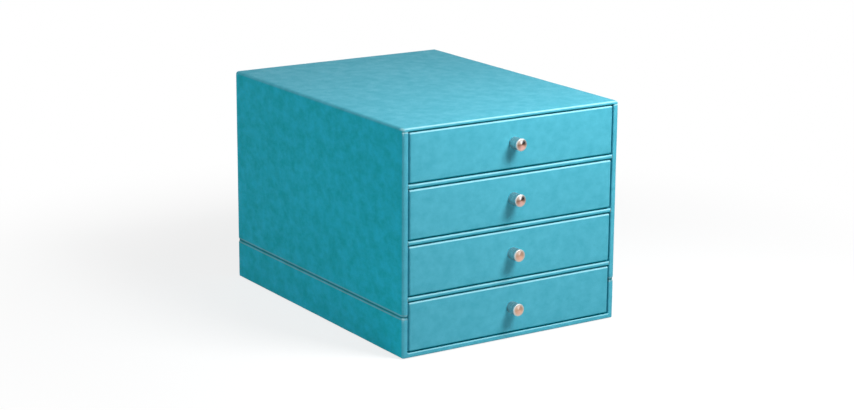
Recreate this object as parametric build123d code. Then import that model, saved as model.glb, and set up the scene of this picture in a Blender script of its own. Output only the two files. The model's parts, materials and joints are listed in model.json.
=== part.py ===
from build123d import *
import math
import os

# Desktop mini drawers: a fibreboard case wrapped in leather cloth, with four lined trays behind
# wrapped fronts, each pulled by a turned metal knob.
# Millimetres, +Z up. The origin is on the table under the middle of the case. The fronts face -Y.

# The case
case_width = 260.0
case_depth = 342.0
case_height = 232.0
drawer_count = 4

# Its boards
side_board = 5.0
top_board = 2.4
bottom_board = 3.6
back_board = 4.0
divider_board = 3.2
housing_depth = 2.0  # how deep a board sits in the grooves of the side boards

# The leather cloth
leather = 0.8
turn_in = 0.5  # the pared edge of the cloth, inside the mouth and over the dividers
turn_in_depth = 14.0
long_edge_radius = 3.6  # on the upper edges that run from the front to the back
upright_edge_radius = 3.0
cross_edge_radius = 2.2  # on the upper edges of the front and the back
long_foot_radius = 1.6  # on the lower edges that run from the front to the back
cross_foot_radius = 1.2  # on the lower edges of the front and the back
mouth_edge_radius = 1.2
divider_edge_radius = 1.8

# The seam that runs round the case, where the upper and lower covers meet
seam_height = 42.8
seam_width = 1.2
pared_width = 2.1  # each side of the seam the cloth is pared down over this width
pared_drop = 0.5
fold_line_width = 0.4  # where the top flap is folded over the front uprights
fold_line_depth = 0.3

# The pad under the case
felt = 0.8
felt_margin = 5.0
felt_corner_radius = 4.0

# Drawer fronts
front_board = 5.0
front_gap = 1.1  # above and below each front
front_side_gap = 1.2
front_edge_radius = 2.5

# Trays
tray_height = 44.0
tray_side = 4.0
tray_back = 4.0
tray_bottom = 2.5
tray_bottom_lift = 3.0  # from a tray's lower edge to the underside of its bottom
tray_groove = 2.0
tray_glide = 0.3  # running clearance under a tray
tray_back_room = 2.5
lining = 0.8
lining_drop = 3.0  # from a tray's rim down to the edge of its lining

# Knobs
knob_length = 13.0
knob_rise = 1.3  # from the middle of a front up to the axis of its knob
knob_barrel_diameter = 12.2
knob_head_diameter = 12.8
knob_head_length = 3.0
knob_flare_length = 0.6  # from the barrel out to the head
knob_rim_width = 2.0
knob_rim_bevel = 0.5
knob_dish_depth = 0.9
knob_dish_bevel = 0.8

# Knob screws
screw_diameter = 4.0
screw_grip = 9.0  # thread inside the knob
screw_tip_room = 1.0
screw_clearance = 0.2  # round the shank, in the front and in the knob
screw_head_diameter = 7.6
screw_head_height = 2.4
screw_head_bevel = 1.1
recess_span = 4.2
recess_width = 0.9
recess_depth = 1.4
washer_diameter = 9.0
washer_thickness = 0.8
washer_room = 0.6  # between a washer and the hole in the lining

# Planes of the case
front_plane = -case_depth / 2
back_plane = case_depth / 2
board_front = front_plane + leather
board_back = back_plane - leather
carcass_low = felt + leather
carcass_high = case_height - leather
carcass_width = case_width - 2 * leather
bay_width = carcass_width - 2 * side_board
housed_width = bay_width + 2 * housing_depth
mouth_width = bay_width - 2 * turn_in
mouth_low = carcass_low + bottom_board + turn_in
mouth_high = carcass_high - top_board - turn_in
back_face = board_back - back_board
turn_in_end = front_plane + turn_in_depth

# The bays, one for each drawer, counted from the top
divider_strip = divider_board + 2 * turn_in
bay_height = (mouth_high - mouth_low - (drawer_count - 1) * divider_strip) / drawer_count

# Planes of a drawer, measured from the front of the case and the floor of its bay
front_width = mouth_width - 2 * front_side_gap
front_height = bay_height - 2 * front_gap
front_back = leather + front_board
tray_width = front_width - 2 * leather
tray_inner_width = tray_width - 2 * tray_side
tray_end = back_face - front_plane - tray_back_room
tray_inner_end = tray_end - tray_back
tray_rim = tray_glide + tray_height
tray_bottom_low = tray_glide + tray_bottom_lift
tray_floor = tray_bottom_low + tray_bottom
knob_height = bay_height / 2 + knob_rise


def block(x, y, z):
    """A box between the low and high end of each of its three spans."""
    middle = [sum(span) / 2 for span in (x, y, z)]
    size = [span[1] - span[0] for span in (x, y, z)]
    return Pos(*middle) * Box(*size)


def across(width):
    """A span of this width, centred on the middle of the case."""
    return (-width / 2, width / 2)


def eased_outline(width, height, axis, low_radius, high_radius):
    """A rectangle with one radius at the low end of an axis and another at the high end."""
    outline = Rectangle(width, height)
    outline = fillet(outline.vertices().group_by(axis)[-1], high_radius)
    return fillet(outline.vertices().group_by(axis)[0], low_radius)


def eased_case(width, y, z, inset):
    """A case of this width between two spans, with rounded edges. The radii shrink by the inset."""
    deep = y[1] - y[0]
    tall = z[1] - z[0]
    front = eased_outline(
        width, tall, Axis.Y, long_foot_radius - inset, long_edge_radius - inset
    )
    side = eased_outline(
        tall, deep, Axis.X, cross_edge_radius - inset, cross_foot_radius - inset
    )
    plan = RectangleRounded(width, deep, upright_edge_radius - inset)
    from_front = Rot(90, 0, 0) * extrude(front, amount=deep / 2, both=True)
    from_above = extrude(plan, amount=tall / 2, both=True)
    from_side = Rot(0, 90, 0) * extrude(side, amount=width / 2, both=True)
    return Pos(0, sum(y) / 2, sum(z) / 2) * (from_front & from_above & from_side)


def eased_front(x, y, z, radius):
    """A box with its front edges rounded."""
    box = block(x, y, z)
    face = box.faces().sort_by(Axis.Y)[0]
    return fillet(face.edges(), radius)


def rod(radius, y):
    """A round bar along Y on the axis of a knob."""
    return Pos(0, sum(y) / 2, knob_height) * Rot(90, 0, 0) * Cylinder(radius, y[1] - y[0])


def bay_low(drawer):
    """The floor of a drawer's bay."""
    return mouth_high - drawer * bay_height - (drawer - 1) * divider_strip


# The case


def divider(number):
    """The board under drawer number, housed in both sides."""
    high = bay_low(number) - turn_in
    return block(across(housed_width), (board_front, back_face), (high - divider_board, high))


def divider_wrap(number):
    """The strip of cloth that is folded round the front edge of a divider."""
    high = bay_low(number)
    low = high - divider_strip
    strip = block(across(mouth_width), (front_plane, turn_in_end), (low, high))
    nose = strip.edges().filter_by(Axis.X).group_by(Axis.Y)[0]
    return fillet(nose, divider_edge_radius) - divider(number)


def carcass_form():
    """The outside of the case without its cloth."""
    return eased_case(
        carcass_width, (board_front, board_back), (carcass_low, carcass_high), inset=leather
    )


def carcass_boards():
    """The boards of the case. The sides are cut by everything that is housed in them."""
    form = carcass_form()
    height = (carcass_low, carcass_high)
    back = block(across(housed_width), (back_face, board_back), height)
    run = (board_front, back_face)
    top = block(across(housed_width), run, (carcass_high - top_board, carcass_high))
    bottom = block(across(housed_width), run, (carcass_low, carcass_low + bottom_board))
    dividers = {f"divider_{n}": divider(n) for n in range(1, drawer_count)}
    inner = bay_width / 2
    left = block((-inner - side_board, -inner), (board_front, board_back), height)
    right = block((inner, inner + side_board), (board_front, board_back), height)
    for housed in (top, bottom, back, *dividers.values()):
        left -= housed
        right -= housed
    return {
        "case_top_board": top & form,
        "case_bottom_board": bottom & form,
        "case_left_board": left & form,
        "case_right_board": right & form,
        "case_back_board": back & form,
        **dividers,
    }


def whole_cover():
    """The cloth round the whole case, with its mouth and the edges turned into it."""
    skin = eased_case(case_width, (front_plane, back_plane), (felt, case_height), inset=0)
    skin -= block(across(mouth_width), (front_plane, turn_in_end), (mouth_low, mouth_high))
    front = skin.faces().sort_by(Axis.Y)[0]
    skin = fillet(front.inner_wires()[0].edges(), mouth_edge_radius)
    turned = block(
        across(bay_width), (board_front, turn_in_end), (mouth_low - turn_in, mouth_high + turn_in)
    )
    skin -= carcass_form() - turned
    for number in range(1, drawer_count):
        skin -= divider(number)
    return skin


def pared_band(low, taper_up):
    """What is pared off the cloth beside the seam, deepest at the seam itself."""
    angle = math.degrees(math.atan2(pared_drop, pared_width))
    outline = RectangleRounded(case_width, case_depth, upright_edge_radius)
    core = extrude(outline, amount=pared_width, taper=angle)
    if not taper_up:
        core = Pos(0, 0, pared_width) * Rot(180, 0, 0) * core
    margin = 2 * pared_drop
    band = block(across(case_width + margin), across(case_depth + margin), (0, pared_width))
    return Pos(0, 0, low) * (band - core)


def fold_lines():
    """The creases where the top flap ends on the two front uprights."""
    inner = mouth_width / 2 + mouth_edge_radius
    outer = case_width / 2
    deep = (front_plane, front_plane + fold_line_depth)
    tall = (mouth_high - fold_line_width / 2, mouth_high + fold_line_width / 2)
    return block((-outer, -inner), deep, tall) + block((inner, outer), deep, tall)


def covers():
    """The upper and the lower cover, parted at the seam."""
    skin = whole_cover()
    wide = across(case_width)
    deep = across(case_depth)
    seam_low = seam_height - seam_width / 2
    seam_high = seam_height + seam_width / 2
    upper = skin & block(wide, deep, (seam_high, case_height))
    upper -= pared_band(seam_high, taper_up=False)
    upper -= fold_lines()
    lower = skin & block(wide, deep, (felt, seam_low))
    lower -= pared_band(seam_low - pared_width, taper_up=True)
    return {"upper_cover": upper, "lower_cover": lower}


def base_felt():
    """The felt pad that the case stands on."""
    pad = RectangleRounded(
        case_width - 2 * felt_margin, case_depth - 2 * felt_margin, felt_corner_radius
    )
    return extrude(pad, amount=felt)


# A drawer


def front_pieces():
    """The board of a drawer front and the cloth round it."""
    shank_hole = rod(screw_diameter / 2 + screw_clearance, (0, front_back))
    low = front_gap
    high = front_gap + front_height
    wrapped = eased_front(across(front_width), (0, front_back), (low, high), front_edge_radius)
    board = eased_front(
        across(tray_width),
        (leather, front_back),
        (low + leather, high - leather),
        front_edge_radius - leather,
    )
    return board - shank_hole, wrapped - board - shank_hole


def tray_pieces():
    """The boards of a tray. Its bottom is held in grooves on all four sides."""
    half = tray_inner_width / 2
    height = (tray_glide, tray_rim)
    run = (front_back, tray_end)
    bottom = block(
        across(tray_inner_width + 2 * tray_groove),
        (front_back - tray_groove, tray_inner_end + tray_groove),
        (tray_bottom_low, tray_floor),
    )
    back_width = tray_inner_width + 2 * tray_groove
    back = block(across(back_width), (tray_inner_end, tray_end), height)
    left = block((-half - tray_side, -half), run, height) - back - bottom
    right = block((half, half + tray_side), run, height) - back - bottom
    return {"left_side": left, "right_side": right, "back": back - bottom, "bottom": bottom}


def tray_lining():
    """The felt that lines a tray, with a hole for the washer."""
    high = tray_rim - lining_drop
    outside = block(across(tray_inner_width), (front_back, tray_inner_end), (tray_floor, high))
    inside = block(
        across(tray_inner_width - 2 * lining),
        (front_back + lining, tray_inner_end - lining),
        (tray_floor + lining, high),
    )
    hole = rod(washer_diameter / 2 + washer_room, (front_back, front_back + lining))
    return outside - inside - hole


def knob():
    """A turned knob with a wider, rimmed head and a sunk disc in its end, bored for its screw."""
    barrel = knob_barrel_diameter / 2
    head = knob_head_diameter / 2
    dish = head - knob_rim_width
    end = -knob_length
    neck = end + knob_head_length
    outline = Polyline(
        (0, 0),
        (barrel, 0),
        (barrel, neck + knob_flare_length),
        (head, neck),
        (head, end + knob_rim_bevel),
        (head - knob_rim_bevel, end),
        (dish, end),
        (dish - knob_dish_bevel, end + knob_dish_depth),
        (0, end + knob_dish_depth),
        close=True,
    )
    turned = Pos(0, 0, knob_height) * revolve(make_face(outline), Axis.Y)
    return turned - rod(screw_diameter / 2 + screw_clearance, (-screw_grip - screw_tip_room, 0))


def washer():
    """The washer under the head of a knob screw."""
    span = (front_back, front_back + washer_thickness)
    return rod(washer_diameter / 2, span) - rod(screw_diameter / 2 + screw_clearance, span)


def knob_screw():
    """A pan head screw with a cross recess, put in from inside the tray."""
    seat = front_back + washer_thickness
    crown = seat + screw_head_height
    head = rod(screw_head_diameter / 2, (seat, crown))
    head = chamfer(head.edges().sort_by(Axis.Y)[-1], screw_head_bevel)
    shank = rod(screw_diameter / 2, (-screw_grip, seat))
    slot = (crown - recess_depth, crown)
    span = (knob_height - recess_span / 2, knob_height + recess_span / 2)
    width = (knob_height - recess_width / 2, knob_height + recess_width / 2)
    cross = block(across(recess_width), slot, span) + block(across(recess_span), slot, width)
    return head + shank - cross


def drawer():
    """All pieces of one drawer, from the front of the case and the floor of its bay."""
    tray = tray_pieces()
    board, cloth = front_pieces()
    return {
        "front_board": board - tray["bottom"],
        "front_cover": cloth,
        **tray,
        "lining": tray_lining(),
        "knob": knob(),
        "knob_screw": knob_screw(),
        "washer": washer(),
    }


def all_pieces():
    """Every piece of the object under its own name, in its own place."""
    pieces = {**carcass_boards(), **covers(), "base_felt": base_felt()}
    for number in range(1, drawer_count):
        pieces[f"divider_{number}_wrap"] = divider_wrap(number)
    for number in range(1, drawer_count + 1):
        place = Pos(0, front_plane, bay_low(number))
        for name, piece in drawer().items():
            pieces[f"drawer_{number}_{name}"] = place * piece
    return pieces


os.makedirs("parts", exist_ok=True)
for name, piece in all_pieces().items():
    export_step(piece, f"parts/{name}.step")
print(f"bay {bay_height:.2f} high and {bay_width:.2f} wide")
print(f"front {front_width:.2f} x {front_height:.2f}, tray {tray_end - front_back:.2f} long")
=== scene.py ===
import bmesh
import bpy
import json
import math
from mathutils import Matrix, Vector


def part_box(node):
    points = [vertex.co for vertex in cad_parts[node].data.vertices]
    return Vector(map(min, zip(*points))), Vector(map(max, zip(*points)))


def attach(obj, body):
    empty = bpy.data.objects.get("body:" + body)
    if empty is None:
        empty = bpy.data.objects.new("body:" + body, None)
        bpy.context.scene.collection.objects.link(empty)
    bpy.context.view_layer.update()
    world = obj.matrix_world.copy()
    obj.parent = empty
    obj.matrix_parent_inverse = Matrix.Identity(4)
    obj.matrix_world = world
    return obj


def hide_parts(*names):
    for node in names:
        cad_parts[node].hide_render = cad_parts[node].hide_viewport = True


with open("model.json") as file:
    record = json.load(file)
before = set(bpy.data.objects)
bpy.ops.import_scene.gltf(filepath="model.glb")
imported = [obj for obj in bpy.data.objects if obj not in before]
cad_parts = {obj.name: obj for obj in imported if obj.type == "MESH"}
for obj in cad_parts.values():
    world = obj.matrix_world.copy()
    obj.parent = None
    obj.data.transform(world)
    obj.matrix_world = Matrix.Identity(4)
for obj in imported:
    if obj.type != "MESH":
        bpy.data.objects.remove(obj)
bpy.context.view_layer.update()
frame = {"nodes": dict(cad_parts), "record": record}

# Metres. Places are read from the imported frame; the sizes below them are the finish of the edges.
MM = 0.001
DRAWERS = (1, 2, 3, 4)
DIVIDERS = (1, 2, 3)
ACROSS = (1, 0, 0)
UPWARD = (0, 0, 1)

case_low, case_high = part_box("upper_cover")
foot_low, foot_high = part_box("lower_cover")
wrap_low, wrap_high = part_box("divider_1_wrap")
front_low, front_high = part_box("drawer_1_front_cover")

HALF_WIDTH = case_high.x
FRONT = case_low.y
BACK = case_high.y
TOP = case_high.z
SEAM_LOW = foot_high.z
SEAM_HIGH = case_low.z
SEAM = (SEAM_LOW + SEAM_HIGH) / 2
HALF_MOUTH = wrap_high.x
TURN_IN = wrap_high.y - wrap_low.y
GAP = 1.1 * MM
MOUTH_TOP = front_high.z + GAP
MOUTH_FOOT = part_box("drawer_4_front_cover")[0].z - GAP

LONG_EDGE = 3.6 * MM  # the upper edges of the case that run from the front to the back
UPRIGHT_EDGE = 3.0 * MM
CROSS_EDGE = 2.2 * MM  # the upper edges of its front and back
LONG_FOOT = 1.6 * MM  # and the same two for its lower edges
CROSS_FOOT = 1.2 * MM
MOUTH_EDGE = 1.2 * MM
NOSE_EDGE = 1.8 * MM  # the front edge of a divider
FRONT_EDGE = 2.5 * MM
FRONT_CORNER = 1.2 * MM
DRAWN_IN = 0.22 * MM  # how far the cloth of a front falls back at its edge
DRAWN_WIDTH = 2.2 * MM
PARED_WIDTH = 2.1 * MM
PARED_DROP = 0.5 * MM
FOLD_REACH = 0.35 * MM  # above and below the crease of a fold
FOLD_DEPTH = 0.45 * MM
PAD_CORNER = 4.0 * MM
SKIN = 0.3 * MM
CLOTH_STEP = 9.0 * MM
FRONT_STEP = 7.0 * MM
FELT_STEP = 12.0 * MM
LINING = 0.8 * MM
LINING_EDGE = 2.0 * MM
LINING_HOLE = 5.1 * MM
NEAR = 0.05 * MM


# Choosing and shaping, as by hand in edit mode


def deselect_all():
    if bpy.context.object and bpy.context.object.mode != "OBJECT":
        bpy.ops.object.mode_set(mode="OBJECT")
    bpy.ops.object.select_all(action="DESELECT")


def make_active(piece):
    deselect_all()
    piece.select_set(True)
    bpy.context.view_layer.objects.active = piece


def begin_block(name, low, high):
    """A cube between two corners, with its place in its mesh."""
    deselect_all()
    low, high = Vector(low), Vector(high)
    bpy.ops.mesh.primitive_cube_add(size=1, location=(low + high) / 2, scale=high - low)
    piece = bpy.context.object
    piece.name = piece.data.name = name
    bpy.ops.object.transform_apply(location=True, rotation=True, scale=True)
    return piece


def edit(piece, elements):
    """Edit mode with nothing chosen, picking VERT, EDGE or FACE."""
    make_active(piece)
    bpy.ops.object.mode_set(mode="EDIT")
    bpy.ops.mesh.select_mode(type=elements)
    bpy.ops.mesh.select_all(action="DESELECT")


def choose_faces(piece, test):
    edit(piece, "FACE")
    shape = bmesh.from_edit_mesh(piece.data)
    for face in shape.faces:
        face.select_set(test(face.calc_center_median(), face.normal))
    bmesh.update_edit_mesh(piece.data)


def choose_edges(piece, test):
    edit(piece, "EDGE")
    shape = bmesh.from_edit_mesh(piece.data)
    for edge in shape.edges:
        edge.select_set(test(edge))
    bmesh.update_edit_mesh(piece.data)


def choose_points(piece, test):
    edit(piece, "VERT")
    shape = bmesh.from_edit_mesh(piece.data)
    for point in shape.verts:
        point.select_set(test(point.co))
    shape.select_flush_mode()
    bmesh.update_edit_mesh(piece.data)


def at(value, place):
    return abs(value - place) < NEAR


def both_ends(edge, test):
    return all(test(end.co) for end in edge.verts)


def rise(edge):
    return abs(edge.verts[0].co.z - edge.verts[1].co.z)


def cut(place, normal):
    """Cuts what is chosen by a plane, and keeps both sides."""
    bpy.ops.mesh.bisect(plane_co=place, plane_no=normal)


def move(x=0.0, y=0.0, z=0.0):
    bpy.ops.transform.translate(value=(x, y, z))


def pull_out(x=0.0, y=0.0, z=0.0):
    bpy.ops.mesh.extrude_region_move(TRANSFORM_OT_translate={"value": (x, y, z)})


def round_edges(width, steps):
    bpy.ops.mesh.bevel(
        offset=width, segments=steps, profile=0.5, affect="EDGES", clamp_overlap=True
    )


def apply_modifier(piece, kind, **settings):
    make_active(piece)
    bpy.ops.object.modifier_add(type=kind)
    modifier = piece.modifiers[-1]
    for key, value in settings.items():
        setattr(modifier, key, value)
    bpy.ops.object.modifier_apply(modifier=modifier.name)


def weigh(piece, test, width):
    """Marks edges for round_marked, which gives each its own width."""
    choose_edges(piece, lambda edge: test(edge.verts[0].co, edge.verts[1].co))
    bpy.ops.transform.edge_bevelweight(value=width / LONG_EDGE)


def round_marked(piece, steps):
    apply_modifier(piece, "BEVEL", width=LONG_EDGE, segments=steps, limit_method="WEIGHT")


def spaced(low, high, step):
    """Places between low and high, about a step apart."""
    count = max(2, round((high - low) / step))
    return [low + (high - low) * n / count for n in range(1, count)]


def divide(piece, step, low, high):
    """Cuts the whole piece into a grid, fine enough for its surface to wave."""
    for axis in range(3):
        normal = [0, 0, 0]
        normal[axis] = 1
        for place in spaced(low[axis], high[axis], step):
            choose_faces(piece, lambda centre, facing: True)
            plane = [0, 0, 0]
            plane[axis] = place
            cut(plane, normal)
    deselect_all()


def wave(piece, depth):
    """A slight waviness, as cloth has over board."""
    apply_modifier(
        piece, "DISPLACE", texture=WAVES, texture_coords="LOCAL", strength=depth, mid_level=0.5
    )


def face_outwards(piece):
    edit(piece, "FACE")
    bpy.ops.mesh.select_all(action="SELECT")
    bpy.ops.mesh.remove_doubles(threshold=0.002 * MM)
    bpy.ops.mesh.normals_make_consistent(inside=False)
    deselect_all()


def smooth(piece, angle=40):
    make_active(piece)
    bpy.ops.object.shade_smooth_by_angle(angle=math.radians(angle))
    deselect_all()


def thicken(piece, depth):
    apply_modifier(piece, "SOLIDIFY", thickness=depth, offset=-1.0)


def finish_cloth(piece, step, low, high, depth, material):
    """Turns the plain form of a cover into waved cloth with a thickness."""
    divide(piece, step, low, high)
    face_outwards(piece)
    wave(piece, depth)
    thicken(piece, SKIN)
    smooth(piece)
    piece.data.materials.append(material)


def copy_to(piece, name, shift):
    """A copy with its own mesh, its place in the mesh."""
    other = piece.copy()
    other.data = piece.data.copy()
    other.name = other.data.name = name
    other.data.transform(Matrix.Translation(shift))
    bpy.context.scene.collection.objects.link(other)
    return other


def stand_for(piece, body, slot, *nodes):
    """Attaches a finished piece to its body and hides the nodes it stands for. slot is not used."""
    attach(piece, body)
    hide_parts(*nodes)


WAVES = bpy.data.textures.new("cloth_over_board", "CLOUDS")
WAVES.noise_scale = 0.035
WAVES.noise_depth = 1


# Shader building


def node(tree, kind, inputs=None, **settings):
    made = tree.nodes.new(kind)
    for key, value in settings.items():
        setattr(made, key, value)
    for key, value in (inputs or {}).items():
        if isinstance(value, bpy.types.NodeSocket):
            tree.links.new(value, made.inputs[key])
        else:
            made.inputs[key].default_value = value
    return made


def math_node(tree, operation, a, b=0.0, c=0.0, clamp=False):
    values = {0: a, 1: b, 2: c}
    return node(tree, "ShaderNodeMath", values, operation=operation, use_clamp=clamp).outputs[0]


def both(tree, first, second):
    """Where both masks are 1, or one mask at a lower strength."""
    return math_node(tree, "MULTIPLY", first, second)


def either(tree, first, second):
    return math_node(tree, "MAXIMUM", first, second)


def blend_colour(tree, share, first, second):
    inputs = {0: share, 6: first, 7: second}
    return node(tree, "ShaderNodeMix", inputs, data_type="RGBA", blend_type="MIX").outputs[2]


def spread(tree, value, first, last):
    """A value from 0 to 1, spread evenly from first to last."""
    return node(tree, "ShaderNodeMapRange", {0: value, 3: first, 4: last}).outputs[0]


def ramp(tree, value, start, end, first=0.0, last=1.0):
    """From first at the start to last at the end, softly."""
    inputs = {0: value, 1: start, 2: end, 3: first, 4: last}
    return node(
        tree, "ShaderNodeMapRange", inputs, interpolation_type="SMOOTHSTEP"
    ).outputs[0]


def band(tree, value, low, high, soft):
    """1 between low and high, fading over the soft distance."""
    risen = ramp(tree, value, low - soft, low + soft)
    fallen = ramp(tree, value, high - soft, high + soft, 1.0, 0.0)
    return both(tree, risen, fallen)


def new_group(name, inputs, outputs):
    """A node group with named inputs and outputs."""
    tree = bpy.data.node_groups.new(name, "ShaderNodeTree")
    for label, kind, value in inputs:
        socket = tree.interface.new_socket(label, in_out="INPUT", socket_type=kind)
        socket.default_value = value
    for label, kind in outputs:
        tree.interface.new_socket(label, in_out="OUTPUT", socket_type=kind)
    given = tree.nodes.new("NodeGroupInput").outputs
    return tree, given, tree.nodes.new("NodeGroupOutput").inputs


def place_group(tree, group, inputs):
    return node(tree, "ShaderNodeGroup", inputs, node_tree=group).outputs


FLOAT, COLOUR, VECTOR = "NodeSocketFloat", "NodeSocketColor", "NodeSocketVector"


def clouding_group():
    """Cloudy change of shade in a dyed surface, which may be drawn out into streaks."""
    tree, given, out = new_group(
        "clouding",
        [
            ("Place", VECTOR, (0, 0, 0)),
            ("Scale", FLOAT, 100.0),
            ("Stretch", VECTOR, (1, 1, 1)),
            ("Deep", COLOUR, (0, 0, 0, 1)),
            ("Pale", COLOUR, (1, 1, 1, 1)),
        ],
        [("Colour", COLOUR), ("Shade", FLOAT)],
    )
    stretched = node(
        tree,
        "ShaderNodeVectorMath",
        {0: given["Place"], 1: given["Stretch"]},
        operation="MULTIPLY",
    )
    broad = node(
        tree,
        "ShaderNodeTexNoise",
        {
            "Vector": stretched.outputs[0],
            "Scale": given["Scale"],
            "Detail": 3.0,
            "Roughness": 0.55,
        },
    )
    shade = node(tree, "ShaderNodeMapRange", {0: broad.outputs[0], 1: 0.3, 2: 0.7}).outputs[0]
    tree.links.new(shade, out["Shade"])
    tree.links.new(blend_colour(tree, shade, given["Deep"], given["Pale"]), out["Colour"])
    return tree


def grain_group():
    """The pressed grain of leather cloth: small pebbles parted by fine creases."""
    tree, given, out = new_group(
        "pebble_grain",
        [("Place", VECTOR, (0, 0, 0)), ("Pebbles per metre", FLOAT, 900.0)],
        [("Height", FLOAT), ("Crease", FLOAT)],
    )
    warp = node(
        tree, "ShaderNodeTexNoise", {"Vector": given["Place"], "Scale": 350.0, "Detail": 2.0}
    )
    bent = node(
        tree,
        "ShaderNodeVectorMath",
        {0: warp.outputs["Color"], 1: (0.0006, 0.0006, 0.0006), 2: given["Place"]},
        operation="MULTIPLY_ADD",
    )
    cells = node(
        tree,
        "ShaderNodeTexVoronoi",
        {"Vector": bent.outputs[0], "Scale": given["Pebbles per metre"]},
        feature="DISTANCE_TO_EDGE",
    )
    pebble = ramp(tree, cells.outputs["Distance"], 0.0, 0.16)
    fine = node(
        tree, "ShaderNodeTexNoise", {"Vector": given["Place"], "Scale": 2600.0, "Detail": 2.0}
    )
    height = math_node(tree, "MULTIPLY_ADD", fine.outputs[0], 0.35, pebble)
    tree.links.new(height, out["Height"])
    tree.links.new(math_node(tree, "SUBTRACT", 1.0, pebble), out["Crease"])
    return tree


def arris_group():
    """Where a surface turns from one plain face of the piece to the next, up or down."""
    tree, given, out = new_group(
        "arris", [("Facing", VECTOR, (0, 0, 1))], [("Upper", FLOAT), ("Under", FLOAT)]
    )
    straight = node(tree, "ShaderNodeVectorMath", {0: given["Facing"]}, operation="ABSOLUTE")
    parts = node(tree, "ShaderNodeSeparateXYZ", {0: straight.outputs[0]}).outputs
    widest = either(tree, either(tree, parts[0], parts[1]), parts[2])
    turned = ramp(tree, widest, 0.995, 0.84)
    upright = node(tree, "ShaderNodeSeparateXYZ", {0: given["Facing"]}).outputs["Z"]
    tree.links.new(both(tree, turned, ramp(tree, upright, 0.02, 0.35)), out["Upper"])
    tree.links.new(both(tree, turned, ramp(tree, upright, -0.02, -0.6)), out["Under"])
    return tree


def fibre_group():
    """Matted fibres, as in felt or pressed board."""
    tree, given, out = new_group(
        "matted_fibre",
        [("Place", VECTOR, (0, 0, 0)), ("Fibres per metre", FLOAT, 900.0)],
        [("Height", FLOAT), ("Fleck", FLOAT)],
    )
    curl = node(
        tree, "ShaderNodeTexNoise", {"Vector": given["Place"], "Scale": 160.0, "Detail": 3.0}
    )
    bent = node(
        tree,
        "ShaderNodeVectorMath",
        {0: curl.outputs["Color"], 1: (0.006, 0.006, 0.006), 2: given["Place"]},
        operation="MULTIPLY_ADD",
    ).outputs[0]
    scale = given["Fibres per metre"]
    strands = node(
        tree,
        "ShaderNodeTexNoise",
        {"Vector": bent, "Scale": scale, "Detail": 5.0, "Roughness": 0.7},
    )
    flecks = node(
        tree, "ShaderNodeTexVoronoi", {"Vector": bent, "Scale": scale, "Randomness": 1.0}
    )
    fleck = math_node(tree, "MULTIPLY", flecks.outputs["Distance"], 1.2, clamp=True)
    tree.links.new(strands.outputs[0], out["Height"])
    tree.links.new(fleck, out["Fleck"])
    return tree


CLOUDING = clouding_group()
GRAIN = grain_group()
ARRIS = arris_group()
FIBRE = fibre_group()


def new_material(name, **shader_settings):
    """A material with its shader, and the place of a point on the object."""
    material = bpy.data.materials.new(name)
    material.use_nodes = True
    tree = material.node_tree
    tree.nodes.clear()
    shader = node(tree, "ShaderNodeBsdfPrincipled")
    for key, value in shader_settings.items():
        shader.inputs[key.replace("_", " ")].default_value = value
    output = node(tree, "ShaderNodeOutputMaterial")
    tree.links.new(shader.outputs[0], output.inputs["Surface"])
    place = node(tree, "ShaderNodeTexCoord").outputs["Object"]
    return material, tree, shader, place


def bump(tree, shader, height, depth, distance):
    inputs = {"Height": height, "Strength": depth, "Distance": distance}
    tree.links.new(node(tree, "ShaderNodeBump", inputs).outputs[0], shader.inputs["Normal"])


def split(tree, place):
    """The X, Y and Z of a place."""
    return node(tree, "ShaderNodeSeparateXYZ", {0: place}).outputs


# Colours, linear

CLOTH_DEEP = (0.003, 0.375, 0.455, 1)
CLOTH_PALE = (0.007, 0.465, 0.635, 1)
# painted sheen of the key light: the paler cloth of the case's top and front, and of the fronts
SHEEN_LIT_DEEP = (0.070, 0.41, 0.53, 1)
SHEEN_LIT_PALE = (0.092, 0.47, 0.60, 1)
SHADED_CREASE = (0.002, 0.20, 0.26, 1)
# painted highlight, on upward arrises and on the lip of the fold beside the mouth
PAINTED_HIGHLIGHT = (0.62, 0.97, 1.0, 1)
SHADED = (0.0005, 0.15, 0.22, 1)
RAW_EDGE = (0.40, 0.33, 0.29, 1)
SEAM_SHADE = (0.004, 0.13, 0.16, 1)
FELT_DEEP = (0.028, 0.030, 0.034, 1)
FELT_PALE = (0.060, 0.064, 0.070, 1)
BOARD_DEEP = (0.235, 0.135, 0.070, 1)
BOARD_PALE = (0.370, 0.235, 0.130, 1)
BARREL_DEEP = (0.34, 0.34, 0.35, 1)
BARREL_PALE = (0.90, 0.89, 0.88, 1)
STEEL_DEEP = (0.50, 0.51, 0.53, 1)
STEEL_PALE = (0.68, 0.69, 0.70, 1)
END_MIDDLE = (0.34, 0.18, 0.12, 1)
PEACH = (0.64, 0.40, 0.28, 1)
CREAM = (0.50, 0.48, 0.42, 1)
BROWN = (0.24, 0.13, 0.085, 1)
COPPER = (0.46, 0.25, 0.20, 1)
ROSE = (0.62, 0.37, 0.34, 1)
TAN = (0.62, 0.36, 0.28, 1)
UMBER = (0.17, 0.09, 0.06, 1)
DARKEST_REFLECTION = (0.030, 0.028, 0.032, 1)
DARK_REFLECTION = (0.09, 0.08, 0.085, 1)
BRIGHT_REFLECTION = (0.90, 0.87, 0.85, 1)
BRIGHTEST_REFLECTION = (0.92, 0.88, 0.86, 1)
DUN = (0.55, 0.42, 0.35, 1)

# The painted reflections round the end of a knob, anticlockwise from its left, by the share of a
# turn
SECTORS = {
    0.0: BROWN,
    0.12: COPPER,
    0.25: ROSE,
    0.40: TAN,
    0.50: UMBER,
    0.58: DARKEST_REFLECTION,
    0.67: DARK_REFLECTION,
    0.72: BRIGHT_REFLECTION,
    0.80: BRIGHTEST_REFLECTION,
    0.87: DUN,
    1.0: BROWN,
}
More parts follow.
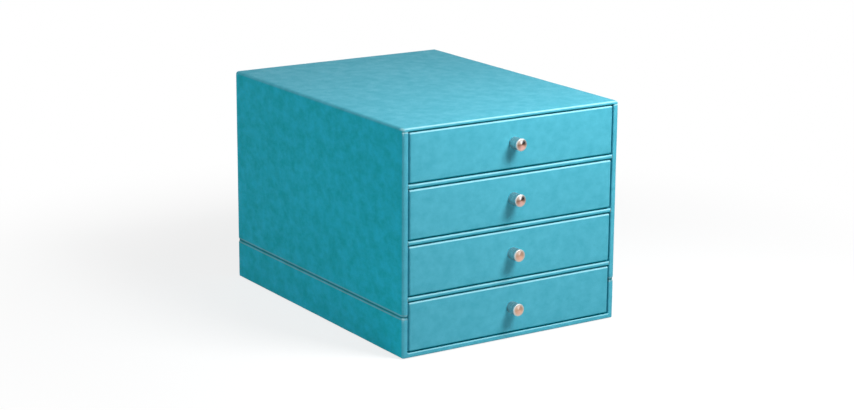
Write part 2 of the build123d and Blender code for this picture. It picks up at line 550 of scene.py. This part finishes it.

# Strengths of the marks on the cloth, painted highlights and painted shades among them, and where
# they lie
ARRIS_HIGHLIGHT = 0.42
UNDER_SHADE = 0.85
GAP_SHADE = 0.85
LIP_HIGHLIGHT = 0.45
CREASE_SHADE = 0.15
RAW_SHADE = 0.34
SEAM_STRENGTH = 0.8
SEAM_LINE = 0.75 * MM
RAW_START = 1.4 * MM
RAW_END = 2.6 * MM
LIP = (-1.3 * MM, -0.3 * MM)
FOLD_LINE = (-0.2 * MM, 0.35 * MM)


def mark_mouth(tree, parts, colour, at_front):
    """The fold of the top flap beside the mouth: a painted highlight on its lip and a painted shade
    in the crease over it.
    """
    across = math_node(tree, "ABSOLUTE", parts["X"])
    on_upright = math_node(tree, "GREATER_THAN", across, HALF_MOUTH)
    fold = both(tree, at_front, on_upright)
    lip = band(tree, parts["Z"], MOUTH_TOP + LIP[0], MOUTH_TOP + LIP[1], 0.2 * MM)
    crease = band(
        tree, parts["Z"], MOUTH_TOP + FOLD_LINE[0], MOUTH_TOP + FOLD_LINE[1], 0.12 * MM
    )
    bright = both(tree, both(tree, fold, lip), LIP_HIGHLIGHT)
    colour = blend_colour(tree, bright, colour, PAINTED_HIGHLIGHT)
    return blend_colour(tree, both(tree, fold, crease), colour, SHADED)


def mark_seam(tree, parts, colour):
    """The dark line of the seam, a painted shade in its groove, and the raw edges of the cloth on
    each side of it.
    """
    from_seam = math_node(tree, "ABSOLUTE", math_node(tree, "SUBTRACT", parts["Z"], SEAM))
    raw = both(tree, band(tree, from_seam, RAW_START, RAW_END, 0.2 * MM), RAW_SHADE)
    line = both(tree, band(tree, from_seam, -1 * MM, SEAM_LINE, 0.12 * MM), SEAM_STRENGTH)
    colour = blend_colour(tree, raw, colour, RAW_EDGE)
    return blend_colour(tree, line, colour, SEAM_SHADE)


def inside_mouth(tree, parts):
    """1 within the mouth and on the edge round it."""
    edge = 0.8 * MM
    across = math_node(tree, "ABSOLUTE", parts["X"])
    between = math_node(tree, "LESS_THAN", across, HALF_MOUTH + edge)
    tall = band(tree, parts["Z"], MOUTH_FOOT - edge, MOUTH_TOP + edge, 0.1 * MM)
    return both(tree, between, tall)


def leather_cloth(name, on_case):
    """Dyed leather cloth. Its paler colour on the top and the front of the case, and all over a
    front or a divider's strip, is a painted sheen of the key light. Upward arrises get a painted
    highlight (on the case only near its front), and downward arrises, the cloth set back from
    the front and the grain's creases get painted shade. On the case it also has the raw edges of
    its seam and the folds beside its mouth."""
    material, tree, shader, place = new_material(name, IOR=1.48)
    facing = tree.nodes["Texture Coordinate"].outputs["Normal"]
    arris = place_group(tree, ARRIS, {"Facing": facing})
    parts = split(tree, place)
    grain = place_group(tree, GRAIN, {"Place": place})
    blotches = {"Place": place, "Scale": 120.0, "Stretch": (0.8, 0.7, 0.95)}
    sheen_lit = place_group(tree, CLOUDING, blotches | {"Deep": SHEEN_LIT_DEEP, "Pale": SHEEN_LIT_PALE})
    colour, upper = sheen_lit["Colour"], arris["Upper"]
    gap = ramp(tree, parts["Y"], FRONT + 2.2 * MM, FRONT + 4.6 * MM)
    if on_case:
        dyed = place_group(tree, CLOUDING, blotches | {"Deep": CLOTH_DEEP, "Pale": CLOTH_PALE})
        on_top = ramp(tree, parts["Z"], TOP - LONG_EDGE, TOP - LONG_EDGE / 3)
        at_front = ramp(tree, parts["Y"], FRONT + UPRIGHT_EDGE, FRONT + UPRIGHT_EDGE / 3)
        # painted sheen: the top and the front of the case take the paler, sheen-lit colour
        colour = blend_colour(tree, either(tree, on_top, at_front), dyed["Colour"], colour)
        upper = both(tree, upper, ramp(tree, parts["Y"], FRONT + 9 * MM, FRONT + 3 * MM))
        gap = both(tree, gap, inside_mouth(tree, parts))
        colour = mark_mouth(tree, parts, colour, at_front)
        colour = mark_seam(tree, parts, colour)
    # painted shade in the creases of the grain
    colour = blend_colour(tree, both(tree, grain["Crease"], CREASE_SHADE), colour, SHADED_CREASE)
    # painted highlight along the upward arrises
    colour = blend_colour(tree, both(tree, upper, ARRIS_HIGHLIGHT), colour, PAINTED_HIGHLIGHT)
    # painted shade on the downward arrises, in the deep dye colour
    colour = blend_colour(tree, both(tree, arris["Under"], UNDER_SHADE), colour, CLOTH_DEEP)
    # painted shade on the cloth set back from the front: the sides of a front and the turn-ins of
    # the mouth
    colour = blend_colour(tree, both(tree, gap, GAP_SHADE), colour, SHADED)
    tree.links.new(colour, shader.inputs["Base Color"])
    hidden = either(tree, gap, arris["Under"])
    tree.links.new(spread(tree, hidden, 0.12, 0.0), shader.inputs["Specular IOR Level"])
    gloss = spread(tree, sheen_lit["Shade"], 0.58, 0.46)
    rough = math_node(tree, "MULTIPLY_ADD", grain["Crease"], 0.15, gloss)
    tree.links.new(rough, shader.inputs["Roughness"])
    bump(tree, shader, grain["Height"], 0.35, 0.06 * MM)
    return material


def felt_cloth(name):
    material, tree, shader, place = new_material(name, Sheen_Weight=0.35, Sheen_Roughness=0.5)
    fibre = place_group(tree, FIBRE, {"Place": place, "Fibres per metre": 700.0})
    shade = place_group(
        tree, CLOUDING, {"Place": place, "Scale": 60.0, "Deep": FELT_DEEP, "Pale": FELT_PALE}
    )
    flecked = blend_colour(tree, fibre["Fleck"], shade["Colour"], FELT_PALE)
    tree.links.new(flecked, shader.inputs["Base Color"])
    tree.links.new(spread(tree, fibre["Height"], 0.85, 1.0), shader.inputs["Roughness"])
    bump(tree, shader, fibre["Height"], 0.8, 0.4 * MM)
    return material


def fibreboard(name):
    """Pressed board, with the painted shade of the seam's groove where its outer skin lies in that
    groove.
    """
    material, tree, shader, place = new_material(name, IOR=1.45)
    fibre = place_group(tree, FIBRE, {"Place": place, "Fibres per metre": 500.0})
    streaks = {"Place": place, "Scale": 45.0, "Stretch": (1, 1, 4)}
    shade = place_group(tree, CLOUDING, streaks | {"Deep": BOARD_DEEP, "Pale": BOARD_PALE})
    fleck = both(tree, fibre["Fleck"], 0.5)
    flecked = blend_colour(tree, fleck, shade["Colour"], BOARD_DEEP)
    parts = split(tree, place)
    at_seam = band(tree, parts["Z"], SEAM_LOW - 2 * MM, SEAM_HIGH + 2 * MM, 0.2 * MM)
    under_cloth = 1.4 * MM
    across = math_node(tree, "ABSOLUTE", parts["X"])
    past_side = math_node(tree, "GREATER_THAN", across, HALF_WIDTH - under_cloth)
    past_front = math_node(tree, "LESS_THAN", parts["Y"], FRONT + under_cloth)
    # painted shade of the seam's groove on the board's outer skin
    seam_groove_shade = both(tree, at_seam, either(tree, past_side, past_front))
    tree.links.new(blend_colour(tree, seam_groove_shade, flecked, SEAM_SHADE), shader.inputs["Base Color"])
    tree.links.new(spread(tree, fibre["Height"], 0.6, 0.8), shader.inputs["Roughness"])
    bump(tree, shader, fibre["Height"], 0.4, 0.2 * MM)
    return material


def measured(tree, label):
    """A measure that the knob's mesh carries at each of its points."""
    return node(tree, "ShaderNodeAttribute", attribute_name=label).outputs["Fac"]


def ring_noise(tree, measure, rings_per_metre, detail):
    inputs = {"W": measure, "Scale": rings_per_metre, "Detail": detail}
    return node(tree, "ShaderNodeTexNoise", inputs, noise_dimensions="1D").outputs[0]


def turned_metal(name):
    """Bare metal with the fine rings that a lathe and an emery cloth leave."""
    material, tree, shader, place = new_material(name, Metallic=1.0, Anisotropic=0.4)
    across, along = measured(tree, "from_axis"), measured(tree, "from_foot")
    fine = ring_noise(tree, math_node(tree, "ADD", across, along), 1100.0, 4.0)
    rings = ramp(tree, fine, 0.35, 0.65)
    smudge = node(tree, "ShaderNodeTexNoise", {"Vector": place, "Scale": 260.0, "Detail": 2.0})
    colour = blend_colour(tree, rings, BARREL_DEEP, BARREL_PALE)
    tree.links.new(colour, shader.inputs["Base Color"])
    uneven = both(tree, rings, smudge.outputs[0])
    tree.links.new(spread(tree, uneven, 0.5, 0.34), shader.inputs["Roughness"])
    tangent = node(tree, "ShaderNodeTangent", direction_type="RADIAL", axis="Y")
    tree.links.new(tangent.outputs[0], shader.inputs["Tangent"])
    bump(tree, shader, rings, 0.5, 0.06 * MM)
    return material


def sector_tones(tree, share):
    """The painted reflection at a share of a turn."""
    tones = node(tree, "ShaderNodeValToRGB", {0: share})
    stops = tones.color_ramp.elements
    stops[0].color = SECTORS[0.0]
    stops[-1].color = SECTORS[1.0]
    for position, tone in SECTORS.items():
        if 0 < position < 1:
            stops.new(position).color = tone
    return tones.outputs[0]


def polished_end(name, cream):
    """The polished end of a knob, with painted reflections in sectors round it, blended toward
    peach on the lower two drawers.
    """
    material, tree, shader, place = new_material(name, Metallic=1.0)
    out = measured(tree, "from_axis")
    turn = math_node(tree, "ARCTAN2", measured(tree, "upwards"), measured(tree, "to_right"))
    share = node(tree, "ShaderNodeMapRange", {0: turn, 1: -math.pi, 2: math.pi}).outputs[0]
    inner = ramp(tree, out, 0.0, 1.6 * MM)
    # painted reflections in sectors, round a middle colour
    colour = blend_colour(tree, inner, END_MIDDLE, sector_tones(tree, share))
    # the ends of the lower two knobs are blended toward peach, and the rim toward cream, more on
    # the lower knobs
    toward_peach = both(tree, ramp(tree, split(tree, place)["Z"], 0.130, 0.095), 0.62)
    colour = blend_colour(tree, toward_peach, colour, PEACH)
    toward_cream = math_node(tree, "ADD", cream, both(tree, toward_peach, cream))
    colour = blend_colour(tree, toward_cream, colour, CREAM)
    tree.links.new(colour, shader.inputs["Base Color"])
    rings = ring_noise(tree, out, 2600.0, 2.0)
    tree.links.new(spread(tree, rings, 0.5, 0.4), shader.inputs["Roughness"])
    bump(tree, shader, rings, 0.2, 0.03 * MM)
    return material


def plated_steel(name):
    material, tree, shader, place = new_material(name, Metallic=1.0)
    spots = node(tree, "ShaderNodeTexNoise", {"Vector": place, "Scale": 900.0, "Detail": 3.0})
    spots = spots.outputs[0]
    colour = blend_colour(tree, spots, STEEL_DEEP, STEEL_PALE)
    tree.links.new(colour, shader.inputs["Base Color"])
    tree.links.new(spread(tree, spots, 0.22, 0.42), shader.inputs["Roughness"])
    bump(tree, shader, spots, 0.2, 0.03 * MM)
    return material


CASE_CLOTH = leather_cloth("case_cloth", on_case=True)
FRONT_CLOTH = leather_cloth("front_cloth", on_case=False)
FELT = felt_cloth("grey_felt")
BOARD = fibreboard("pressed_board")
BARREL = turned_metal("knob_barrel")
DISC = polished_end("knob_disc", 0.0)
RIM = polished_end("knob_rim", 0.45)
PLATED = plated_steel("zinc_plate")


# The case


def case_cover(name, far, flat, seam, mouth):
    """One half of the cloth round the case. far is its top or its underside, flat the height at
    which its pared edge starts, seam where it ends, and mouth the near edge of the mouth."""
    away = 1 if far > seam else -1
    low, high = sorted((far, flat))
    piece = begin_block(name, (-HALF_WIDTH, FRONT, low), (HALF_WIDTH, BACK, high))
    choose_faces(piece, lambda centre, facing: facing.z * away < -0.9)
    bpy.ops.mesh.delete(type="ONLY_FACE")
    open_mouth(piece, mouth, away)
    pare_seam(piece, flat, seam)
    turn_in_mouth(piece, mouth, away)
    ease_case_edges(piece, far, mouth)
    return piece


def open_mouth(piece, mouth, away):
    for place, normal in (
        ((-HALF_MOUTH, 0, 0), ACROSS),
        ((HALF_MOUTH, 0, 0), ACROSS),
        ((0, 0, mouth), UPWARD),
    ):
        choose_faces(piece, lambda centre, facing: facing.y < -0.9)
        cut(place, normal)
    choose_faces(
        piece,
        lambda centre, facing: facing.y < -0.9
        and abs(centre.x) < HALF_MOUTH
        and (mouth - centre.z) * away > 0,
    )
    bpy.ops.mesh.delete(type="FACE")


def pare_seam(piece, flat, seam):
    """Draws the open edge of a cover out to the seam, and in a little."""
    choose_edges(
        piece,
        lambda edge: edge.is_boundary and both_ends(edge, lambda point: at(point.z, flat)),
    )
    pull_out(z=seam - flat)
    for side in (-1, 1):
        choose_points(
            piece, lambda point: at(point.z, seam) and at(point.x, side * HALF_WIDTH)
        )
        move(x=-side * PARED_DROP)
    choose_points(piece, lambda point: at(point.z, seam) and at(point.y, FRONT))
    move(y=PARED_DROP)
    choose_points(piece, lambda point: at(point.z, seam) and at(point.y, BACK))
    move(y=-PARED_DROP)


def turn_in_mouth(piece, mouth, away):
    def on_mouth(point):
        return (
            point.y < FRONT + PARED_DROP + NEAR
            and abs(point.x) < HALF_MOUTH + NEAR
            and (mouth - point.z) * away > -NEAR
        )

    choose_edges(piece, lambda edge: both_ends(edge, on_mouth))
    pull_out(y=TURN_IN)


def ease_case_edges(piece, far, mouth):
    """Rounds the edges of a cover, each direction by its own radius, and the edge of its mouth."""
    long_edge, cross_edge = (LONG_EDGE, CROSS_EDGE) if far > SEAM else (LONG_FOOT, CROSS_FOOT)

    def near_front(point):
        return point.y < FRONT + PARED_DROP + NEAR

    def at_end(point):
        return near_front(point) or point.y > BACK - PARED_DROP - NEAR

    def at_side(point):
        return abs(point.x) > HALF_WIDTH - PARED_DROP - NEAR

    def at_jamb(point):
        return near_front(point) and at(abs(point.x), HALF_MOUTH)

    def on_rim(point):
        return at(point.z, far)

    def at_mouth(point):
        return near_front(point) and at(point.z, mouth) and abs(point.x) < HALF_MOUTH + NEAR

    def runs_back(a, b):
        return on_rim(a) and on_rim(b) and at_side(a) and at_side(b) and abs(b.y - a.y) > MM

    def runs_across(a, b):
        level = abs(b.x - a.x) > NEAR and abs(b.y - a.y) < NEAR
        return on_rim(a) and on_rim(b) and at_end(a) and at_end(b) and level

    def runs_up(a, b):
        at_corner = at_side(a) and at_side(b) and at_end(a) and at_end(b)
        return at_corner and abs(b.z - a.z) > NEAR and abs(b.y - a.y) < MM

    def runs_up_jamb(a, b):
        return at_jamb(a) and at_jamb(b) and abs(b.z - a.z) > NEAR

    def runs_over_mouth(a, b):
        return at_mouth(a) and at_mouth(b)

    weigh(piece, runs_back, long_edge)
    weigh(piece, runs_across, cross_edge)
    weigh(piece, runs_up, UPRIGHT_EDGE)
    weigh(piece, runs_up_jamb, MOUTH_EDGE)
    weigh(piece, runs_over_mouth, MOUTH_EDGE)
    round_marked(piece, 6)


def press_folds(piece):
    """The creases where the top flap is folded over the uprights of the mouth."""
    for lift in (-FOLD_REACH, 0.0, FOLD_REACH):
        choose_faces(
            piece,
            lambda centre, facing: centre.y < FRONT + CROSS_EDGE
            and abs(centre.x) > HALF_MOUTH - NEAR,
        )
        cut((0, 0, MOUTH_TOP + lift), UPWARD)
    choose_points(
        piece,
        lambda point: at(point.z, MOUTH_TOP)
        and point.y < FRONT + CROSS_EDGE
        and abs(point.x) > HALF_MOUTH + MOUTH_EDGE / 2,
    )
    move(y=FOLD_DEPTH)
    deselect_all()


def make_case():
    upper = case_cover("case_upper_cloth", TOP, SEAM_HIGH + PARED_WIDTH, SEAM_HIGH, MOUTH_TOP)
    press_folds(upper)
    finish_cloth(upper, CLOTH_STEP, case_low, case_high, 0.25 * MM, CASE_CLOTH)
    stand_for(upper, "case", "leather_cloth", "upper_cover")
    underside = foot_low.z
    pared = SEAM_LOW - PARED_WIDTH
    lower = case_cover("case_lower_cloth", underside, pared, SEAM_LOW, MOUTH_FOOT)
    finish_cloth(lower, CLOTH_STEP, foot_low, foot_high, 0.25 * MM, CASE_CLOTH)
    stand_for(lower, "case", "leather_cloth", "lower_cover")
    for number in DIVIDERS:
        make_divider_cloth(number)
    make_base_pad()


def make_divider_cloth(number):
    """The strip round the front edge of a divider."""
    low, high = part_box(f"divider_{number}_wrap")
    piece = begin_block(f"divider_{number}_cloth", low, high)
    choose_faces(piece, lambda centre, facing: facing.y > 0.9)
    bpy.ops.mesh.delete(type="ONLY_FACE")
    choose_edges(piece, lambda edge: both_ends(edge, lambda point: at(point.y, FRONT)))
    round_edges(NOSE_EDGE, 5)
    finish_cloth(piece, CLOTH_STEP, low, high, 0.2 * MM, FRONT_CLOTH)
    stand_for(piece, "case", "leather_cloth", f"divider_{number}_wrap")


def make_base_pad():
    low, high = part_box("base_felt")
    piece = begin_block("case_base_pad", low, high)
    choose_edges(piece, lambda edge: rise(edge) > NEAR)
    round_edges(PAD_CORNER, 6)
    divide(piece, FELT_STEP, low, high)
    face_outwards(piece)
    smooth(piece)
    piece.data.materials.append(FELT)
    stand_for(piece, "case", "felt", "base_felt")


# The drawers


def make_front_cloth():
    """The cloth over drawer 1's front, drawn a little tighter at its edges."""
    piece = begin_block("drawer_1_front_cloth", front_low, front_high)
    choose_faces(piece, lambda centre, facing: facing.y > 0.9)
    bpy.ops.mesh.delete(type="ONLY_FACE")
    weigh(piece, lambda a, b: abs(b.y - a.y) > NEAR, FRONT_CORNER)
    weigh(piece, lambda a, b: at(a.y, FRONT) and at(b.y, FRONT), FRONT_EDGE)
    round_marked(piece, 5)
    plain = FRONT_EDGE + DRAWN_WIDTH
    for place, normal in (
        ((front_low.x + plain, 0, 0), ACROSS),
        ((front_high.x - plain, 0, 0), ACROSS),
        ((0, 0, front_low.z + plain), UPWARD),
        ((0, 0, front_high.z - plain), UPWARD),
    ):
        choose_faces(piece, lambda centre, facing: facing.y < -0.99)
        cut(place, normal)

    def from_edge(point):
        return min(front_high.x - abs(point.x), point.z - front_low.z, front_high.z - point.z)

    choose_points(
        piece,
        lambda point: at(point.y, FRONT) and from_edge(point) < FRONT_EDGE + 2 * NEAR,
    )
    move(y=DRAWN_IN)
    finish_cloth(piece, FRONT_STEP, front_low, front_high, 0.3 * MM, FRONT_CLOTH)
    return piece


def make_lining():
    """The felt inside drawer 1, with a hole round the washer of the knob."""
    low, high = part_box("drawer_1_lining")
    washer_low, washer_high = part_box("drawer_1_washer")
    bore = (washer_low + washer_high) / 2
    piece = begin_block("drawer_1_felt", low, high)
    choose_faces(piece, lambda centre, facing: facing.z > 0.9)
    bpy.ops.mesh.delete(type="ONLY_FACE")
    choose_edges(piece, lambda edge: not edge.is_boundary)
    round_edges(LINING_EDGE, 5)
    divide(piece, FELT_STEP, low, high)
    face_outwards(piece)
    thicken(piece, LINING)
    deselect_all()
    bpy.ops.mesh.primitive_cylinder_add(
        vertices=48,
        radius=LINING_HOLE,
        depth=6 * MM,
        location=(bore.x, low.y, bore.z),
        rotation=(math.pi / 2, 0, 0),
    )
    punch = bpy.context.object
    apply_modifier(piece, "BOOLEAN", object=punch, operation="DIFFERENCE", solver="EXACT")
    bpy.data.objects.remove(punch)
    smooth(piece)
    piece.data.materials.append(FELT)
    return piece


BARREL_SHARE = 12.2 / 12.8  # of the width of a knob's head
FOOT_EDGE = 0.3 * MM
RIM_EASE = 0.45 * MM
RIM_WIDTH = 1.8 * MM


def knob_rings(head, foot, length):
    """Radius and height of each ring of a knob, from its foot to the middle of its disc."""
    barrel = [
        (foot, FOOT_EDGE),
        (foot, length / 2),
        (foot + 0.05 * MM, length - 3.6 * MM),
    ]
    flare_and_head = [
        (head - 0.15 * MM, length - 3.1 * MM),
        (head, length - 2.8 * MM),
        (head, length - 0.7 * MM),
    ]
    rim = [
        (head - 0.15 * MM, length - 0.25 * MM),
        (head - 0.5 * MM, length),
        (head - 1.5 * MM, length),
    ]
    sunk_disc = [
        (head - RIM_WIDTH, length - 0.06 * MM),
        (head - 2.4 * MM, length - 0.22 * MM),
        (head - 3.0 * MM, length - 0.32 * MM),
        (head - 4.6 * MM, length - 0.38 * MM),
        (0.4 * MM, length - 0.4 * MM),
    ]
    return barrel + flare_and_head + rim + sunk_disc


def make_knob():
    """Drawer 1's knob, drawn up ring by ring from a flat disc, then laid on its side."""
    low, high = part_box("drawer_1_knob")
    length = high.y - low.y
    head = (high.x - low.x) / 2
    foot = head * BARREL_SHARE
    centre = Vector(((low.x + high.x) / 2, high.y, (low.z + high.z) / 2))
    radius, height = foot - 0.2 * MM, 0.0
    deselect_all()
    bpy.ops.mesh.primitive_circle_add(vertices=72, radius=radius, fill_type="NGON")
    piece = bpy.context.object
    piece.name = piece.data.name = "drawer_1_turned_knob"
    edit(piece, "FACE")
    bpy.ops.mesh.select_all(action="SELECT")
    for wide, tall in knob_rings(head, foot, length):
        pull_out(z=tall - height)
        share = wide / radius
        bpy.ops.transform.resize(value=(share, share, 1), center_override=(0, 0, tall))
        radius, height = wide, tall
    deselect_all()
    finish_knob(piece, head, length)
    piece.data.transform(Matrix.Translation(centre) @ Matrix.Rotation(math.pi / 2, 4, "X"))
    face_outwards(piece)
    smooth(piece, 50)
    return piece


def finish_knob(piece, head, length):
    """Barrel, rim and disc in their own metal, with the measures that their finish follows."""
    for metal in (BARREL, RIM, DISC):
        piece.data.materials.append(metal)
    for face in piece.data.polygons:
        out = math.hypot(face.center.x, face.center.y)
        if face.center.z > length - 1.2 * MM and out < head - RIM_EASE:
            face.material_index = 1 if out > head - RIM_WIDTH else 2
    for label, measure in (
        ("from_axis", lambda point: math.hypot(point.x, point.y)),
        ("from_foot", lambda point: point.z),
        ("to_right", lambda point: point.x / head),
        ("upwards", lambda point: point.y / head),
    ):
        attribute = piece.data.attributes.new(label, "FLOAT", "POINT")
        for point, value in zip(piece.data.vertices, attribute.data):
            value.value = measure(point.co)


def make_drawers():
    """Models drawer 1's pieces, and copies each of them to the other drawers."""
    pieces = (
        (make_knob(), "turned_knob", "knob_steel", "knob"),
        (make_front_cloth(), "front_cloth", "leather_cloth", "front_cover"),
        (make_lining(), "felt", "felt", "lining"),
    )
    for number in DRAWERS:
        for first, label, slot, role in pieces:
            node_name = f"drawer_{number}_{role}"
            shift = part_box(node_name)[0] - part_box(f"drawer_1_{role}")[0]
            piece = first if number == 1 else copy_to(first, f"drawer_{number}_{label}", shift)
            stand_for(piece, f"drawer_{number}", slot, node_name)


def dress_cad_nodes():
    """Board and plated steel on the nodes that stay as they are."""
    finishes = {"fibreboard": BOARD, "zinc_steel": PLATED}
    slots = {row["node"]: row["material_slot"] for row in frame["record"]["subparts"]}
    for name, piece in frame["nodes"].items():
        if slots[name] in finishes:
            piece.data.materials.clear()
            piece.data.materials.append(finishes[slots[name]])
            smooth(piece, 30)


# Light, floor and camera

WORLD_LIGHT = 0.18
FLOOR_GREY = 0.62
FLOOR_LIFT = 0.50
FLOOR_WHITENS = (0.30, 0.70)  # distances from the middle between which the floor turns white
WHITE_SHARE = 0.55  # nearer than that

# Each light's direction from the middle of the case, its distance, size and power
LIGHTS = {
    "key": ((0.23, -0.66, 0.71), 0.85, 0.34, 7.1),
    "fill": ((-1.0, 0.0, 0.3), 2.0, 1.2, 12.6),
    "back": ((0.45, 1.0, -0.03), 1.8, 0.24, 7.0),
}


def shown_rays(tree):
    """1 for the rays that show the white background: what is seen, mirrored or seen through."""
    paths = node(tree, "ShaderNodeLightPath").outputs
    through = either(tree, paths["Is Camera Ray"], paths["Is Transmission Ray"])
    return either(tree, through, paths["Is Glossy Ray"])


def make_floor():
    deselect_all()
    bpy.ops.mesh.primitive_plane_add(size=12, location=(0, 0, 0))
    floor = bpy.context.object
    floor.name = "floor"
    material, tree, shader, place = new_material(
        "pale_floor", Roughness=0.9, Specular_IOR_Level=0.0
    )
    shader.inputs["Base Color"].default_value = (FLOOR_GREY, FLOOR_GREY, FLOOR_GREY, 1)
    shown = shown_rays(tree)
    away = node(tree, "ShaderNodeVectorMath", {0: place}, operation="LENGTH").outputs["Value"]
    whiteness = ramp(tree, away, *FLOOR_WHITENS, WHITE_SHARE, 1.0)
    lift = node(tree, "ShaderNodeEmission", {"Strength": both(tree, shown, FLOOR_LIFT)})
    white = node(tree, "ShaderNodeEmission", {"Strength": 1.0})
    near_floor = node(tree, "ShaderNodeAddShader", {0: shader.outputs[0], 1: lift.outputs[0]})
    share = both(tree, shown, whiteness)
    mixed = node(
        tree,
        "ShaderNodeMixShader",
        {0: share, 1: near_floor.outputs[0], 2: white.outputs[0]},
    )
    tree.links.new(mixed.outputs[0], tree.nodes["Material Output"].inputs["Surface"])
    floor.data.materials.append(material)


def make_world():
    world = bpy.data.worlds.new("soft_studio")
    bpy.context.scene.world = world
    world.use_nodes = True
    tree = world.node_tree
    tree.nodes.clear()
    strength = spread(tree, shown_rays(tree), WORLD_LIGHT, 1.0)
    back = node(tree, "ShaderNodeBackground", {"Color": (1, 1, 1, 1), "Strength": strength})
    tree.links.new(back.outputs[0], node(tree, "ShaderNodeOutputWorld").inputs[0])


def add_light(name, direction, distance, size, power):
    """A square soft light that looks at the middle of the case."""
    deselect_all()
    middle = Vector((0, 0, TOP / 2))
    out = Vector(direction).normalized()
    bpy.ops.object.light_add(type="AREA", location=middle + out * distance)
    lamp = bpy.context.object
    lamp.name = name
    lamp.data.shape = "SQUARE"
    lamp.data.size = size
    lamp.data.energy = power
    lamp.rotation_euler = out.to_track_quat("Z", "Y").to_euler()


CAMERA_AZIMUTH = math.radians(-32.944)
CAMERA_ELEVATION = math.radians(14.522)
CAMERA_ROLL = math.radians(0.337)
# From the middle of the foot of the front, in the picture's own directions
CAMERA_RIGHT = -0.0851
CAMERA_UP = 0.1351
CAMERA_BACK = 2.1334
CAMERA_LENS = 88.753
SENSOR = 36.0


def make_camera():
    azimuth, elevation, roll = CAMERA_AZIMUTH, CAMERA_ELEVATION, CAMERA_ROLL
    level_share = math.cos(elevation)
    back = Vector(
        (
            math.sin(azimuth) * level_share,
            -math.cos(azimuth) * level_share,
            math.sin(elevation),
        )
    )
    level = Vector((math.cos(azimuth), math.sin(azimuth), 0))
    upright = back.cross(level)
    right = math.cos(roll) * level + math.sin(roll) * upright
    up = math.cos(roll) * upright - math.sin(roll) * level
    foot = Vector((0, FRONT, 0))
    place = foot + right * CAMERA_RIGHT + up * CAMERA_UP + back * CAMERA_BACK
    turn = Matrix((right, up, back)).transposed().to_4x4()
    deselect_all()
    bpy.ops.object.camera_add()
    camera = bpy.context.object
    camera.matrix_world = Matrix.Translation(place) @ turn
    camera.data.sensor_fit = "HORIZONTAL"
    camera.data.sensor_width = SENSOR
    camera.data.lens = CAMERA_LENS
    bpy.context.scene.camera = camera


make_case()
make_drawers()
dress_cad_nodes()
make_floor()
make_world()
for light_name, settings in LIGHTS.items():
    add_light(light_name, *settings)
make_camera()
bpy.context.scene.view_settings.view_transform = "Standard"
